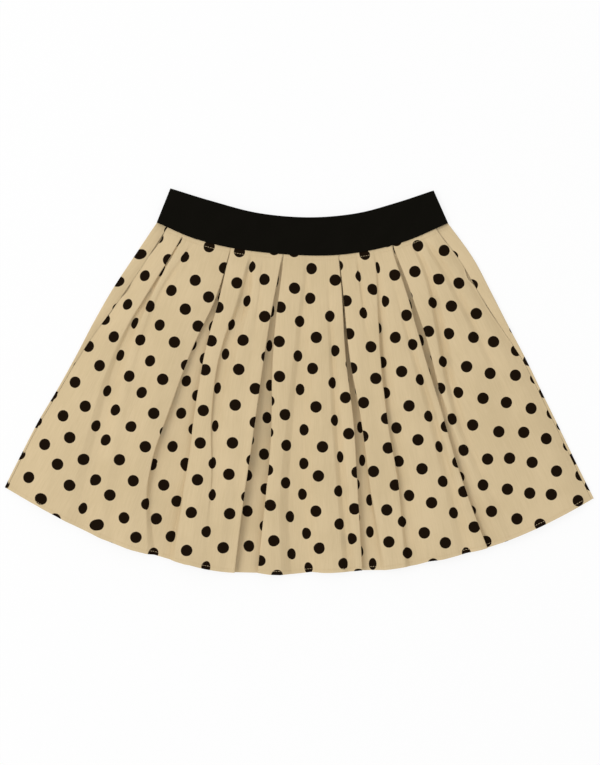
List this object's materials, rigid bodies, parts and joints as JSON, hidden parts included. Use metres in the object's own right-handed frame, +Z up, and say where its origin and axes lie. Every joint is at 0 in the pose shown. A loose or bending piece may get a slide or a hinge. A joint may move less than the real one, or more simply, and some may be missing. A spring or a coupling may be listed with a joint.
{
  "type": "circle skirt laid flat",
  "caption": "Short flared skirt laid flat, pleated and gathered cotton panels under a wide elastic waistband.",
  "frame": {"origin": "on the surface the skirt lies on, under the middle of its bounding box", "axes": "+X from one side of the skirt to the other, +Y from the hem to the waistband, +Z up through the front"},
  "size_m": [0.7088, 0.4634, 0.0162],
  "materials": {
    "dotted_cotton": "matte beige cotton with black dots",
    "black_elastic": "matte black woven elastic"
  },
  "bodies": {
    "root": {"front_panel": "dotted_cotton", "back_panel": "dotted_cotton", "waistband": "black_elastic"}
  },
  "joints": []
}
